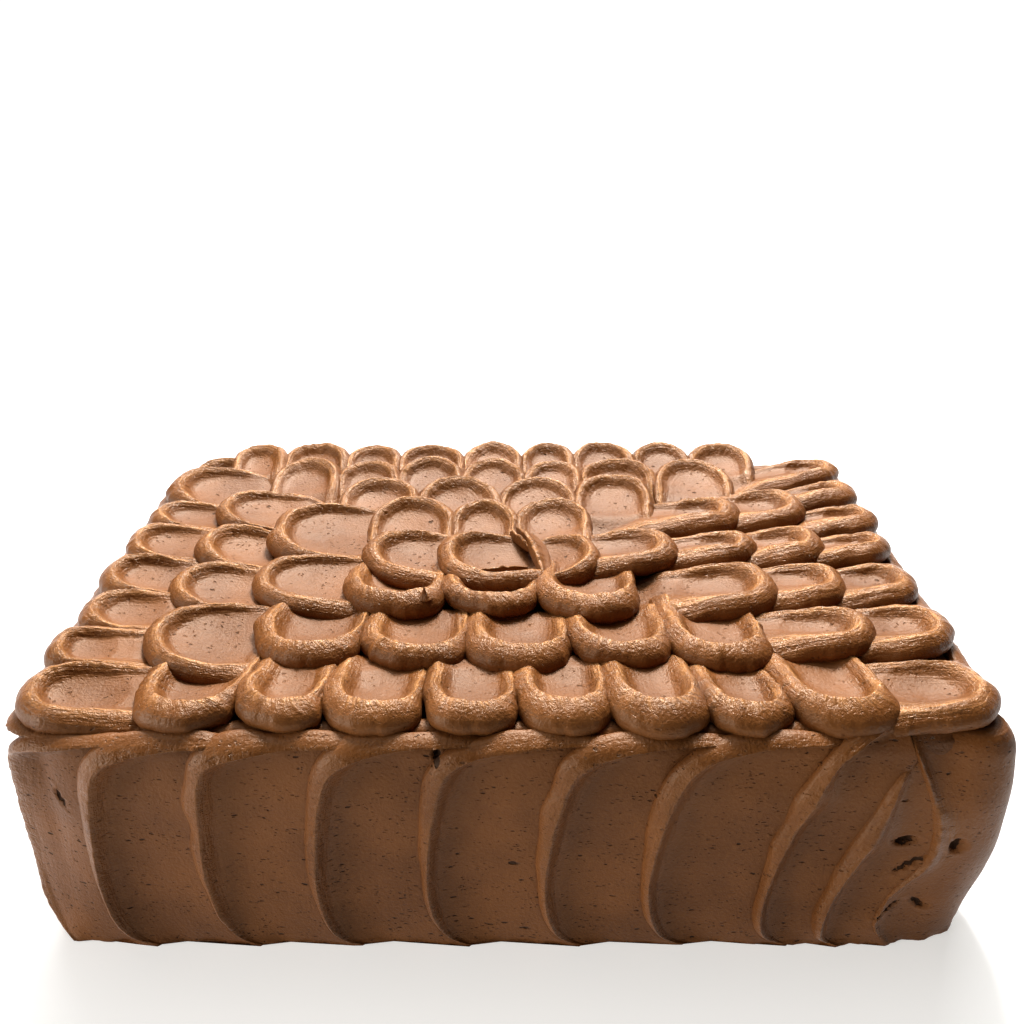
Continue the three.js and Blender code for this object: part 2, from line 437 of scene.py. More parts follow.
# %% The material
BROWN = (0.143, 0.0478, 0.0110, 1.0)
BROWN_DEEP = (0.100, 0.0315, 0.0066, 1.0)
# pale brown: the grain's random tone, and on the rims partly a painted highlight along the streaks
BROWN_PALE = (0.210, 0.080, 0.0215, 1.0)
# painted highlight: a light golden brown laid along the crests of the rims
PAINTED_CREST_HIGHLIGHT = (0.360, 0.165, 0.060, 1.0)
# painted shade: near black laid in the air pits, slits and torn bubbles, where shade falls into the holes
PAINTED_PIT_SHADE = (0.022, 0.007, 0.002, 1.0)
SHEEN = (1.0, 0.78, 0.56, 1.0)
PIT_FLATTEN = (0.36, 0.36, 1.0)
PIT_WANDER = 0.0011


def air_holes(tree, place, pit_share):
    """1 in a hole and 0 elsewhere: pits 3 mm apart, finer specks, a few slits, and the torn bubbles.

    Flattening the place makes every hole a level dash, and adding a little noise to it keeps
    the dashes from being ellipses. A second, slower noise chooses where there are any."""
    wander = add_node(tree, "ShaderNodeTexNoise", None, {"Vector": place, "Scale": 420.0}, "Color")
    flat = stretched(tree, place, *PIT_FLATTEN)
    pit_place = add_node(tree, "ShaderNodeVectorMath", {"operation": "MULTIPLY_ADD"},
                         {0: wander, 1: [PIT_WANDER] * 3, 2: flat})
    pit = spots(tree, pit_place, 330.0, 0.06, 0.15)
    pit = pit * band(tree, noise(tree, pit_place, 150.0, 1.0), 0.46, 0.55)
    speck = spots(tree, pit_place, 950.0, 0.08, 0.26)
    speck = speck * band(tree, noise(tree, pit_place, 310.0, 2.0), 0.42, 0.58)
    slit = spots(tree, pit_place, 105.0, 0.05, 0.10)
    slit = slit * band(tree, noise(tree, pit_place, 45.0, 0.0), 0.52, 0.56)
    hole = (pit + 0.7 * speck) * pit_share + slit * band(tree, pit_share, 0.8, 0.95)
    ragged = 1.6 * (noise(tree, place, 520.0, 2.0) - 0.5)
    for row in TEARS:
        hole = hole + tear(tree, place, ragged, *row)
    return hole.clamp()


def buttercream():
    """Chocolate buttercream with blade streaks, air pits, a soft sheen, a painted highlight on the rims'
    crests and painted shade in the holes.

    The bump's height is in metres: streaks up to 0.9 mm on a rim and 0.1 mm on a floor, grain
    0.3 to 0.4 mm, crumples 0.7 mm on the rims only, pits 0.8 mm deep."""
    material = bpy.data.materials.new("chocolate_buttercream")
    material.use_nodes = True
    tree = material.node_tree
    shader = tree.nodes["Principled BSDF"]
    place = add_node(tree, "ShaderNodeTexCoord", output="Object")
    blade = add_node(tree, "ShaderNodeUVMap", {"uv_map": "blade"})
    cream = add_node(tree, "ShaderNodeVertexColor", {"layer_name": "cream"})
    rim, fan, pit_share = add_node(tree, "ShaderNodeSeparateColor", None, {0: cream}, (0, 1, 2))

    cloud = noise(tree, place, 30.0, 2.0, 0.55)
    grain = noise(tree, place, 800.0, 3.0, 0.6)
    crumple = noise(tree, place, 340.0, 3.0, 0.7, 1.0)
    across = noise(tree, stretched(tree, blade, 600.0, 90.0, 1.0), 1.0, 3.0, 0.6)
    lengthwise = noise(tree, stretched(tree, blade, 60.0, 620.0, 1.0), 1.0, 3.0, 0.65)
    share = fan * rim
    streak = share * across + (1.0 - share) * lengthwise

    hole = air_holes(tree, place, pit_share)
    tone = blend_colour(tree, band(tree, cloud, 0.3, 0.7), BROWN_DEEP, BROWN)
    # Pale streaks on the rims only: the streaks are the cream's own, but paling them just on the rims is
    # partly a painted highlight standing in for their glints.
    tone = blend_colour(tree, (band(tree, streak, 0.35, 0.75) * 0.5 * rim).clamp(), tone, BROWN_PALE)
    tone = blend_colour(tree, (band(tree, grain, 0.4, 0.8) * 0.25).clamp(), tone, BROWN_PALE)
    # Painted highlight: the crests of the rims, most where streaks run, are paled to a light golden brown in
    # place of the light they catch.
    edge = band(tree, rim, 0.74, 1.0) * (0.18 + 0.78 * band(tree, streak, 0.44, 0.64))
    tone = blend_colour(tree, edge.clamp(), tone, PAINTED_CREST_HIGHLIGHT)
    # Painted shade: every hole is coloured near black, as dark as the shade inside it.
    tone = blend_colour(tree, hole, tone, PAINTED_PIT_SHADE)
    plug(tree, shader.inputs["Base Color"], tone)

    rough = 0.20 + 0.12 * grain + 0.26 * (1.0 - rim) + 0.3 * hole
    plug(tree, shader.inputs["Roughness"], rough)
    shader.inputs["IOR"].default_value = 1.47
    shader.inputs["Specular IOR Level"].default_value = 0.30
    shader.inputs["Specular Tint"].default_value = SHEEN

    relief = streak * (0.00012 + 0.00075 * rim) + grain * (0.00032 + 0.00010 * rim)
    relief = relief + crumple * band(tree, rim, 0.35, 0.90) * 0.0007 - hole * 0.0008
    bump = add_node(tree, "ShaderNodeBump", inputs={"Height": relief, "Strength": 1.0, "Distance": 1.0})
    plug(tree, shader.inputs["Normal"], bump)
    return material


CREAM = buttercream()
print("buttercream uses", len(CREAM.node_tree.nodes), "nodes")

# %% [markdown]
# ## A scallop of the top
#
# Seen from above the crest is a U: two arms and a round tip. The tip is half a superellipse,
# which lets one scallop be rounder and the next squarer. Scallops were laid round the cake
# anticlockwise, each over the one before, so the arm on the trailing side is fat and high and
# the leading arm is thin, soon to be covered.

# %% Crest and styles of a scallop
SCALLOP_ROWS = 185
SCALLOP_TILT = 4.2
HIDDEN_LENGTH = 20
BOWL = 3.0
BOWL_FOR_HALF = 18
LUMP = 0.5
SHEAR = 0.55
STYLES = {  # bulge, rise, depth and flank, each at the tip, the trailing arm and the leading arm
    "front": ((9.3, 6.6, 2.4), (4.4, 4.6, 3.8), (12.3, 9.5, 7.5), (2.5, 4.0, 4.2)),
    "right": ((7.0, 7.0, 2.4), (3.6, 4.8, 2.6), (10.5, 10.5, 6.5), (4.6, 8.0, 3.4)),
    "back": ((5.0, 3.8, 2.6), (2.7, 3.0, 2.4), (9.5, 8.0, 7.0), (4.0, 3.4, 3.6)),
    "left": ((6.2, 3.4, 2.6), (3.6, 2.6, 2.4), (10.0, 8.0, 7.0), (3.6, 2.8, 3.0)),
    "left_last": ((6.6, 3.4, 7.0), (3.6, 2.6, 4.2), (10.0, 8.0, 10.5), (3.4, 2.6, 3.4)),
    "flap": ((6.2, 4.0, 3.4), (2.6, 2.2, 2.0), (9.0, 6.5, 6.5), (3.0, 2.5, 2.5)),
}
TRAIL_OFFSET = {"front": 4.2, "right": 10.5, "back": 1.5, "left": 1.5}
LEAD_OFFSET = {"front": 1.9, "right": 1.2, "back": 1.5, "left": 1.5}


def scallop_crest(half, length, round_depth, power, bend):
    """The U in plan, from the leading arm (-side) round the tip to the trailing arm (+side).

    The tip is side = half * sin(a) ** (2 / power), forward = depth * (cos(a) ** (2 / power) - 1)
    for a from -90 to 90 degrees. The arms run straight back and draw together a little."""
    a = np.linspace(0, math.pi / 2, 60)
    side = half * np.sin(a) ** (2 / power)
    forward = round_depth * (np.cos(a) ** (2 / power) - 1)
    back = np.linspace(0, 1, 30)[1:]
    arm_side = half * (1 - 0.05 * back ** 2)
    arm_forward = -round_depth - (length - round_depth) * back
    side = np.concatenate([side, arm_side])
    forward = np.concatenate([forward, arm_forward])
    trailing = np.column_stack([side, forward])
    curve = np.concatenate([trailing[::-1] * (-1, 1), trailing[1:]])
    weight = 0.35 + 1.65 * (1 - smooth_step(-curve[:, 1], round_depth, 0.75 * length))
    curve, along = resample(curve, SCALLOP_ROWS, weight)
    curve[:, 0] += bend * (curve[:, 1] / length) ** 2 * half
    return curve, along


def blend_arms(weight, values):
    """A quantity along the crest: its tip value at 0, trailing at +1 and leading at -1."""
    tip, trail, lead = values
    t = smooth_step(np.abs(weight), 0.2, 1.0)
    return np.where(weight < 0, tip + (lead - tip) * t, tip + (trail - tip) * t)


print("styles of scallop:", ", ".join(STYLES))


# %% One scallop
FRONT_PITS, TOP_PITS = 0.50, 0.78
FRONT_PLEATS, TOP_PLEATS = 0.50, 0.16


def scallop_wrinkles(s, t, swept, tipness, pleats, seed):
    """How far to push each point: ripples that fan across the tip, streaks along the arms.

    A slow noise makes both patchy, and a groove runs under the crest of the arms here and there."""
    patch = 0.5 + 0.5 * smooth_noise(s / 8.0, t / 8.0, seed + 8)
    cross = 0.6 * smooth_noise(swept / 1.7, t / 8.0, seed + 3) + smooth_noise(swept / 4.3, t / 6.0, seed + 4)
    lengthwise = smooth_noise(s / 13.0, t / 1.5, seed + 5) + 0.5 * smooth_noise(s / 4.0, t / 1.1, seed + 6)
    wrinkle = (tipness * cross * pleats + (1 - tipness) * lengthwise * 0.32) * (0.2 + patch)
    below_crest = t - t[:, FLOOR_STEPS:FLOOR_STEPS + 1]
    groove = -0.4 * np.exp(-((below_crest - 2.4) / 0.9) ** 2) * (1 - tipness)
    return wrinkle + groove * smooth_step(smooth_noise(s / 16.0, 0 * t, seed + 7), -0.1, 0.6)


def scallop(tip, heading, half, exposed, tip_z, style, rng, squareness=2.1, fall=SCALLOP_TILT,
            dive=0.12, stoutness=1.0):
    """One closed scallop. tip is its crest's far end in plan and heading its unit direction.

    `exposed` is how much of its length shows before the next ring covers it: past that the
    arms melt into the floor, and the floor sinks by `dive` a millimetre under the next ring.
    The floor is a plane that falls towards the open end, less a spoon-shaped bowl. `weight`
    runs from -1 on the leading arm through 0 at the tip to 1 on the trailing arm."""
    in_front = style == "front"
    bulges, rises, depths, flanks = STYLES[style]
    length = exposed + HIDDEN_LENGTH
    round_depth = min(half * rng.uniform(1.0, 1.25), 0.75 * exposed)
    power = squareness + rng.uniform(-0.1, 0.25)
    bend = rng.uniform(-0.12, 0.12)
    crest, along = scallop_crest(half, length, round_depth, power, bend)
    share = np.clip(crest[:, 0] / half, -1, 1)
    arm = np.clip(-(crest[:, 1] + round_depth) / (length - round_depth), 0, 1)
    weight = np.sign(share) * np.maximum(np.abs(share) ** 3, arm)
    middle_forward = np.where(crest[:, 1] > -round_depth,
                              -round_depth + 0.42 * (crest[:, 1] + round_depth), crest[:, 1])
    middle = np.column_stack([bend * (middle_forward / length) ** 2 * half, middle_forward])
    outward = plan_normals(crest)
    seed = rng.integers(200)
    ragged = 0.55 if in_front else 0.3
    patchy = 0.4 + np.abs(smooth_noise(along / 8.0, 0, seed + 10))
    torn = ragged * smooth_noise(along / 1.9, 0, seed + 9) * patchy
    crest = crest + outward * torn[:, None]

    fat = rng.uniform(0.84, 1.16)
    stout = fat * (stoutness + (1 - stoutness) * smooth_step(np.abs(weight), 0.3, 1.0))
    wave = smooth_noise(along / 9.0, 0, seed)
    frill = smooth_noise(along / 2.4, 0, seed + 1)
    melt = 1 - smooth_step(-crest[:, 1], exposed + 4, exposed + 17)
    taper = 1 - 0.6 * smooth_step(-crest[:, 1], 0.3 * exposed, 0.95 * exposed)
    bulge = blend_arms(weight, bulges) * stout * (1 + 0.20 * wave)
    rise = (blend_arms(weight, rises) * fat + 0.4 * wave + 0.25 * frill) * melt * taper
    level = tip_z - rises[0]
    tilt = fall / exposed * rng.uniform(0.8, 1.2)
    lean = rng.uniform(0.2, 0.9)
    bowl = BOWL * rng.uniform(0.8, 1.2) * min(half, BOWL_FOR_HALF) / BOWL_FOR_HALF
    cover_from = exposed + (2.0 if in_front else -4.0)

    def floor_h(side, forward):
        sunk = dive * np.maximum(-forward - exposed - 3, 0)
        ahead = (forward + round_depth) / round_depth
        shown = 1 - smooth_step(-forward, cover_from, cover_from + 10)
        edge = np.clip((side / half) ** 2 + ahead ** 2, 0, 1) * np.where(ahead < 0, shown, 1)
        return level + tilt * forward - sunk + lean * side / half - bowl * (1 - edge)

    crest_h = floor_h(crest[:, 0], crest[:, 1]) + rise
    bottom_h = crest_h - blend_arms(weight, depths) * (fat + stout) / 2 * (0.3 + 0.7 * melt)
    flank = blend_arms(weight, flanks) * rng.uniform(0.88, 1.15)
    points, push, near = stroke_section(crest, middle, outward, bulge, crest_h, bottom_h, floor_h, flank, 2.3)

    s, t = grid_arcs(points, along)
    tipness = (1 - smooth_step(np.abs(weight), 0.35, 0.95))[:, None]
    swept = s + SHEAR * t + 1.2 * smooth_noise(s / 7.0, t / 5.0, seed + 2)
    pleats = FRONT_PLEATS if in_front else TOP_PLEATS
    wrinkle = scallop_wrinkles(s, t, swept, tipness, pleats, seed)
    points = points + push * (wrinkle * near)[..., None]

    forward = np.array(heading)
    sideways = np.array([forward[1], -forward[0]])
    plan = np.array(tip) + points[..., :1] * sideways + points[..., 1:2] * forward
    lumps = smooth_noise(plan[..., 0] / 17.0, plan[..., 1] / 17.0, 3)
    lumps = lumps + 0.45 * smooth_noise(plan[..., 0] / 6.0, plan[..., 1] / 6.0, 5)
    world = np.dstack([plan, points[..., 2] + LUMP * lumps])
    fan = tipness * (1.0 if in_front else 0.35)
    return finish_stroke(world, swept, t, near, fan, FRONT_PITS if in_front else TOP_PITS, True, rng)


def finish_stroke(world, s, t, near, cross_share, pits, folded, rng):
    """Closes a grid of points and gives (vertices, faces, uv, cream) for `make_piece`."""
    rows, columns = s.shape
    faces, loops = stroke_faces(rows, columns, folded)
    vertices, faces = close_stroke(world, faces, loops)
    uv = np.column_stack([s.ravel(), t.ravel()]) * MM + rng.uniform(0, 1)
    cream = np.stack([near, np.broadcast_to(cross_share, s.shape), pits * (1 - 0.8 * near)], axis=-1)
    cream = cream.reshape(-1, 3)
    extra = len(vertices) - len(uv)
    return (vertices, faces, np.concatenate([uv, np.zeros((extra, 2))]),
            np.concatenate([cream, np.zeros((extra, 3))]))


# %% [markdown]
# ## Where the scallops lie
#
# Each ring has a reach on each side of the cake and joints where neighbours meet. The outer
# ring goes down first and the rings step inwards, each over the open ends of the last. In
# front, where the blade was held steepest, the beads are fattest in the outer ring.

# %% The rings
RINGS = [
    {
        "front": (-109, [-134, -96, -65, -30, 4, 37, 70, 101, 138]),
        "right": (170, [-124, -82, -43, -7, 22, 50, 76, 108]),
        "back": (121, [-150, -123, -89, -60, -25, 7, 35, 68, 99, 132]),
        "left": (-169, [-114, -84, -60, -31, -2, 29, 56, 98]),
    },
    {
        "front": (-74.3, [-99, -57, -15, 25, 64, 102]),
        "right": (139, [-81, -44, -6, 28, 67]),
        "back": (99, [-124, -90, -58, -25, 8, 38, 77, 116]),
        "left": (-137, [-86.5, -42, -7, 29, 67]),
    },
    {
        "front": (-39.0, [-69, -27, 14, 55]),
        "right": (106, [-51, -8, 22, 56]),
        "back": (77, [-84, -46, -5, 34, 71]),
        "left": (-105, [-39, 1, 50]),
    },
    {
        "right": (72, [-16, 25]),
        "back": (51, [-66, -27, 4, 39]),
        "left": (-61, [-15, 24]),
    },
]
HEADINGS = {"front": (0, -1), "right": (1, 0), "back": (0, 1), "left": (-1, 0)}
TRAVEL = {"front": 1, "right": 1, "back": -1, "left": -1}
INNER_EXPOSED = {"front": 29, "right": 35, "back": 27, "left": 33}
FAN = 0.13
FRONT_STOUTNESS = [1.0, 0.86, 0.75]
CORNER_EXTRA = 8


def exposure(number, side):
    """How far a ring's tips stand out beyond the next ring's on the same side."""
    if number + 1 < len(RINGS) and side in RINGS[number + 1]:
        return abs(RINGS[number][side][0] - RINGS[number + 1][side][0])
    return INNER_EXPOSED[side]


def ring_scallops(number):
    """The scallops of one ring, laid anticlockwise from the front.

    Each spans from one joint to the next, a little further under the one laid after it, and
    turns outwards by FAN times its share of the way from the middle of its side."""
    strokes = []
    for side, (reach, joints) in RINGS[number].items():
        heading = HEADINGS[side]
        along_x = heading[0] == 0
        pairs = list(zip(joints[:-1], joints[1:]))
        if TRAVEL[side] < 0:
            pairs = [(high, low) for low, high in pairs[::-1]]
        for order, (trail, lead) in enumerate(pairs):
            rng = np.random.default_rng([number, len(side), order])
            last = order == len(pairs) - 1
            style = "left_last" if side == "left" and last else side
            trail = trail + TRAVEL[side] * TRAIL_OFFSET[side]
            lead = lead - TRAVEL[side] * LEAD_OFFSET[side]
            middle = (trail + lead) / 2
            half = abs(lead - trail) / 2
            far = reach + rng.uniform(-1.8, 1.8)
            lean = FAN * middle / (PANEL_X if along_x else PANEL_Y)
            direction = np.array([lean, heading[1]] if along_x else [heading[0], lean])
            direction /= np.linalg.norm(direction)
            tip = (middle, far) if along_x else (far, middle)
            tip_z = CREST_Z - 0.4 + rng.uniform(-0.7, 0.7)
            squareness = 2.1 if side == "front" else 2.0
            exposed = exposure(number, side) + (CORNER_EXTRA if last or order == 0 else 0)
            stoutness = FRONT_STOUTNESS[number] if side == "front" else 1.0
            strokes.append(scallop(tip, direction, half, exposed, tip_z, style, rng, squareness,
                                   stoutness=stoutness))
    return strokes


print("scallops in the rings:", sum(len(side[1]) - 1 for ring in RINGS for side in ring.values()))

# %% [markdown]
# ## Torn edges and a small peak
#
# Buttercream is sticky. Where a stroke breaks off it tears into a thin, wave-shaped ridge, and
# where the blade lifts straight up it draws out a peak. The ridge is one small closed section
# swept along a run. The peak is a stack of shrinking rings; the coat underneath is a stack of
# rings too, so both use the same faces.

# %% Torn edges and peaks
def loft_faces(rings, sides):
    """Triangles of a stack of rings, with the bottom and top fans round the last two vertices."""
    index = np.arange(rings * sides).reshape(rings, sides)
    nxt = np.roll(index, -1, axis=1)
    a, b, c, d = index[:-1], nxt[:-1], nxt[1:], index[1:]
    quads = np.stack([a, b, c, a, c, d], axis=-1).reshape(-1, 3)
    base = np.column_stack([np.full(sides, rings * sides), nxt[0], index[0]])
    lid = np.column_stack([np.full(sides, rings * sides + 1), index[-1], nxt[-1]])
    return np.concatenate([quads, base, lid])


FLICK_RINGS, FLICK_SIDES = 20, 14


def flick(base, height, radius, lean):
    """A peak left where the blade lifts: its axis leans by lean * t squared as t goes from 0 to 1.

    Its radius falls as 0.82 * (1 - t) ** 3 + 0.18 * (1 - t), so it is broad at the foot only."""
    t = np.linspace(0, 1, FLICK_RINGS)[:, None]
    a = np.linspace(0, 2 * math.pi, FLICK_SIDES, endpoint=False)[None]
    r = radius * (0.82 * (1 - t) ** 3 + 0.18 * (1 - t)) + 0.08
    x = base[0] + lean[0] * t ** 2 + r * np.cos(a)
    y = base[1] + lean[1] * t ** 2 + 0.7 * r * np.sin(a)
    z = base[2] + height * t + 0 * a
    ends = [base, (base[0] + lean[0], base[1] + lean[1], base[2] + height + 0.1)]
    vertices = np.concatenate([np.dstack([x, y, z]).reshape(-1, 3), ends])
    cream = np.tile([0.8, 1.0, 0.0], (len(vertices), 1))
    return vertices, loft_faces(FLICK_RINGS, FLICK_SIDES), vertices[:, ::2] * MM, cream


# across a torn edge: distance to the left of it, and height above the floor, as shares
WAVE = np.array([(0.22, -1.0), (0.24, -0.3), (0.22, 0.25), (0.12, 0.75), (0.02, 0.97), (-0.08, 1.0),
                 (-0.2, 0.86), (-0.36, 0.58), (-0.55, 0.32), (-0.75, 0.1), (-0.9, -0.12), (-1.0, -0.4),
                 (-1.0, -1.0)])
TORN_ROWS = 70


def torn_edge(path, height, width, seed):
    """A wave-shaped ridge through (side, forward, height) points, steep on the left of its run.

    Its section is WAVE times width and height, both shrunk at the ends by sin(pi * t) ** 0.5."""
    path = np.array(path, float)
    plan, along = smooth_curve(path[:, :2], TORN_ROWS)
    share = along / along[-1]
    floor = np.interp(share, np.linspace(0, 1, len(path)), path[:, 2])
    swell = np.sin(math.pi * np.clip(share, 0.01, 0.99)) ** 0.5
    ragged = 1 + 0.3 * smooth_noise(along / 2.0, 0, seed)
    normal = plan_normals(plan)
    across = (width * swell)[:, None] * WAVE[None, :, 0]
    rise = np.where(WAVE[:, 1] > 0, height * (swell * ragged)[:, None] * WAVE[:, 1], 1.5 * WAVE[:, 1])
    ground = plan[:, None] + normal[:, None] * across[..., None]
    world = np.dstack([ground, floor[:, None] + rise])
    s, t = grid_arcs(world, along)
    near = np.clip(WAVE[:, 1], 0, 1)[None] * np.ones(len(along))[:, None]
    return finish_stroke(world, s, t, near, 0.3, 0.3, False, np.random.default_rng(seed))


print("a torn edge has", TORN_ROWS * len(WAVE), "points and a peak", FLICK_RINGS * FLICK_SIDES)

# %% [markdown]
# ## The middle of the top
#
# The last strokes meet in the middle: one scallop faces right, one faces left over its inner
# end, and a small flap faces the front between them. Two torn ridges mark where the blade left
# the cream, a third stands behind the flap, and one small peak is left on the third row. A low
# dollop fills the far left corner, where two runs of scallops end side by side.

# %% The last strokes
def middle_scallops():
    """The last four strokes."""
    rows = [  # tip, heading, half width, exposed length, height over the crest, style and fall
        ((37, 1.5), (1, -0.05), 19.0, 26, -0.8, "left", 4.0),
        ((-25.5, 1.0), (-1, 0.0), 18.5, 34, 0.2, "left_last", 5.0),
        ((2.0, -18.5), (0.10, -1), 14.5, 6, -1.4, "flap", 3.0),
        ((-161, 107), (-0.7, 0.7), 14.0, 12, -4.2, "back", 3.0),
    ]
    batch = []
    for order, (tip, heading, half, exposed, lift, style, fall) in enumerate(rows):
        rng = np.random.default_rng([77, order])
        direction = np.array(heading, float) / np.hypot(*heading)
        batch.append(scallop(tip, direction, half, exposed, CREST_Z + lift, style, rng, 2.0, fall, 0.35))
    return batch


TORN_EDGES = [  # points of the run (side, forward, height above the board), height, width, seed
    ([(15.5, -17, 102.5), (13.5, -6, 102.8), (9.5, 13, 102.8), (4, 27, 103)], 3.4, 7.0, 32),
    ([(9.5, 7, 102.5), (5.5, 14, 102.5), (1, 23, 102.5)], 3.0, 4.4, 33),
    ([(9, -11.5, 103.2), (-3, -14, 103.2), (-13, -15, 103.2)], 2.2, 3.6, 34),
]
STROKES_PER_PIECE = 12
scallops = [stroke for number in range(len(RINGS)) for stroke in ring_scallops(number)]
scallops += middle_scallops()
scallops += [torn_edge(*edge) for edge in TORN_EDGES]
scallops.append(flick((-33.8, -39.2, CREST_Z - 3.0), height=7.4, radius=3.2, lean=(-0.6, 0.6)))
for first in range(0, len(scallops), STROKES_PER_PIECE):
    name = f"scallops_{first // STROKES_PER_PIECE + 1}"
    make_piece(name, scallops[first:first + STROKES_PER_PIECE], CREAM)

# %% [markdown]
# ## The wall
#
# The sides are strokes too, bent round the cake's outline. In plan their crest is a hook: it
# starts in a thin tail at the board, climbs as a ridge, and bends over at the top into a lip
# that thins to a point above the next ridge.

# %% The cake's outline as a path
CORNER_POINTS = 46


def outline_path(half_x, half_y, radius):
    """Points and outward normals round a rectangle with round corners, anticlockwise.

    It starts in the middle of the front. Straight runs have one normal; on a corner the normal
    turns evenly, and the point is the corner's centre plus radius times the normal."""
    corners = [(1, -1, -90), (1, 1, 0), (-1, 1, 90), (-1, -1, 180)]
    points, normals = [(0.0, -half_y)], [(0.0, -1.0)]
    for sx, sy, start in corners:
        cx, cy = sx * (half_x - radius), sy * (half_y - radius)
        for degree in np.linspace(start, start + 90, CORNER_POINTS):
            n = (math.cos(math.radians(degree)), math.sin(math.radians(degree)))
            points.append((cx + radius * n[0], cy + radius * n[1]))
            normals.append(n)
    points.append((0.0, -half_y))
    normals.append((0.0, -1.0))
    points, normals = np.array(points), np.array(normals)
    along = np.concatenate([[0], np.cumsum(np.hypot(*np.diff(points, axis=0).T))])
    return points, normals, along


PATH, PATH_NORMALS, PATH_ALONG = outline_path(PANEL_X, PANEL_Y, CORNER_RADIUS)
GIRTH = PATH_ALONG[-1]
print("once round the cake:", round(GIRTH), "mm")

# %% From the flat to the cake's side
SHOULDER_START = 89.0
SHOULDER_CURVE = 0.045
SWELLS = [(175.0, 15.0, 8.0), (GIRTH - 165.0, 9.0, -3.0)]


def on_wall(u, up, out):
    """Where a place u round the cake, at a height, standing out from the flat, lies.

    Above the shoulder's start the flat leans in by curve * (height above it) squared. The coat
    is thicker on the right front corner and thinner on the left one: a bell along u for each,
    SWELLS giving its place, half width and height, that fades towards the board."""
    u = np.mod(u, GIRTH)
    for place, half, height in SWELLS:
        out = out + height * np.exp(-((u - place) / half) ** 2) * smooth_step(up, -5, 55)
    out = out - SHOULDER_CURVE * np.maximum(up - SHOULDER_START, 0) ** 2
    point = np.dstack([np.interp(u, PATH_ALONG, PATH[:, k]) for k in range(2)])
    normal = np.dstack([np.interp(u, PATH_ALONG, PATH_NORMALS[:, k]) for k in range(2)])
    return np.dstack([point + normal * out[..., None], up])


TEAR_DEPTH = 1.5
TEAR_LIP = 0.35


def torn_bubbles(u, up):
    """How deep the torn bubbles go: TEAR_DEPTH half widths in the middle of each ellipse.

    A bell round a scaled distance of 1.5 raises the cream that was pushed up at each edge."""
    depth = np.zeros(u.shape)
    for side, height, half_length, half_width, rise in TEARS:
        ahead = np.mod(u - side + GIRTH / 2, GIRTH) - GIRTH / 2
        above = up - height
        c, s = math.cos(math.radians(rise)), math.sin(math.radians(rise))
        away = np.hypot((ahead * c + above * s) / half_length, (above * c - ahead * s) / half_width)
        depth += TEAR_DEPTH * half_width * (1 - smooth_step(away, 0.4, 1.3))
        depth -= TEAR_LIP * np.exp(-((away - 1.5) / 0.3) ** 2)
    return depth


middle_bubble = [np.array([[float(value)]]) for value in TEARS[0][:2]]
print("the first torn bubble is", round(float(torn_bubbles(*middle_bubble)[0, 0]), 2), "mm deep")

# %% Hooks
HOOK_UPRIGHT = np.array([  # each point: distance to the right of the foot, and height
    (15, 0.6), (10, 2.4), (6.6, 6.5), (4.2, 13), (1.8, 22), (0.6, 34), (0, 50), (0.2, 68),
    (0.8, 82), (3.5, 89), (10, 92.2), (24, 94.2), (42, 95.2), (60, 95.2), (70, 94.6)], float)
HOOK_SLANTED = np.array([
    (15, 0.6), (10, 2.4), (6.0, 6.5), (3, 13), (0.8, 22), (0, 34), (1.6, 50), (5, 68),
    (10, 82), (14, 87.6), (20, 91.6), (32, 94.4), (46, 95.6), (62, 95.6), (72, 94.8)], float)
HOOK_LAST = np.array([
    (14, 0.6), (9, 2.4), (4.5, 6.5), (2, 13), (1.5, 22), (3, 34), (6, 48), (9, 60),
    (14.5, 74), (18.5, 84), (24, 92.5), (33, 97.5), (45, 100.5)], float)
HOOK_STRAIGHT = np.array([
    (9, 0.6), (4, 3), (1, 8), (1, 18), (5, 34), (12.4, 53), (17, 67), (21, 81), (25, 88)], float)
HOOK_SEAM = np.array([
    (6, 0.6), (1, 8), (0, 15), (4, 28), (12, 39), (14.6, 48), (14, 62), (9, 78), (4, 89),
    (1.5, 95), (1, 97.5)], float)
LIP_FROM = 70


def regular_hook(slant, rng, lip_scale=1.0):
    """A hook between the upright and the slanted one, with a slight bend of its own.

    `lip_scale` lowers what lies above LIP_FROM."""
    hook = HOOK_UPRIGHT + slant * (HOOK_SLANTED - HOOK_UPRIGHT)
    hook[:, 1] -= (1 - lip_scale) * np.maximum(hook[:, 1] - LIP_FROM, 0)
    hook[:, 0] += rng.uniform(-0.8, 0.8) * np.sin(hook[:, 1] / 25)
    return hook


def hook_side(hook, up):
    """How far to the right of its foot a hook is at each height, read as one that only climbs."""
    climb = np.maximum.accumulate(hook[:, 1]) + 0.001 * np.arange(len(hook))
    return np.interp(up, climb, hook[:, 0])


print("a hook climbs from", HOOK_UPRIGHT[0, 1], "to", HOOK_UPRIGHT[:, 1].max(), "mm")


# %% Shape of one side stroke
HOOK_ROWS = 141
WAIST = 66
WALL_BOTTOM = -2.5


def wall_floor(pitch, hook, next_hook):
    """The height of a stroke's floor at any place on the flat, as a function.

    It is lowest near its own ridge and rises by 3.7 mm to the next one, with a fillet at the
    foot of its ridge: a bell 2.3 mm high and 8.5 mm wide. It sinks under its own lip, and
    past the next ridge's edge."""

    def floor_h(side, up):
        edge = pitch + hook_side(next_hook, up)
        over = np.clip(side / edge, 0, 1)
        from_ridge = side - np.minimum(hook_side(hook, up), 14)
        fillet = 2.3 * np.exp(-(from_ridge / 8.5) ** 2)
        under_lip = 2.3 * smooth_step(up, 68, 94)
        return 3.7 * over ** 1.3 - 2.4 + fillet - under_lip - 0.9 * np.clip(side - edge - 0.5, 0, 5)

    return floor_h


